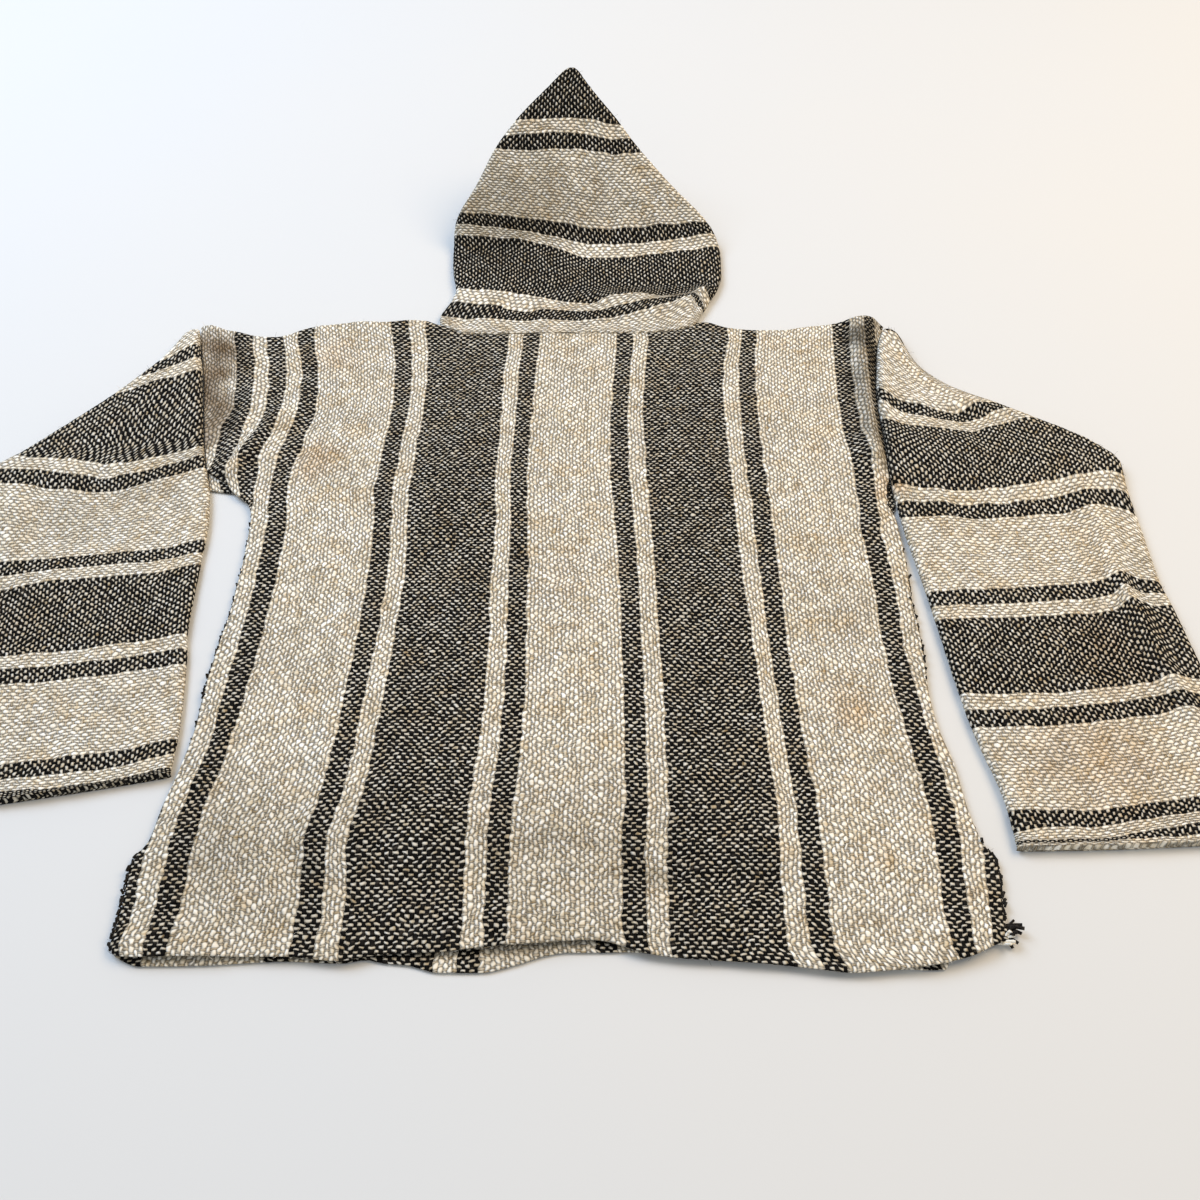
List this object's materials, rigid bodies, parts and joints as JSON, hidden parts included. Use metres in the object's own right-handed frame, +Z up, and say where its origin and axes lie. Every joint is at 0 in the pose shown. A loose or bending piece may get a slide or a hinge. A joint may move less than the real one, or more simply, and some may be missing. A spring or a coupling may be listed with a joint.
{
  "type": "baja hoodie laid face down",
  "caption": "Striped hooded pullover of coarse hand-loomed cloth, laid face down with its sleeves turned down beside the body and the hood spread above, its peak tilted up.",
  "frame": {"origin": "middle of the footprint, on the surface it lies on", "axes": "+X to the wearer's right, +Y from the hem to the hood, +Z up from the surface"},
  "size_m": [1.0617, 0.9273, 0.133],
  "materials": {
    "cloth": "coarse plain weave, matt"
  },
  "bodies": {
    "root": {"back": "cloth", "front": "cloth", "sleeve_left": "cloth", "sleeve_right": "cloth", "hood": "cloth", "pocket": "cloth"}
  },
  "joints": []
}
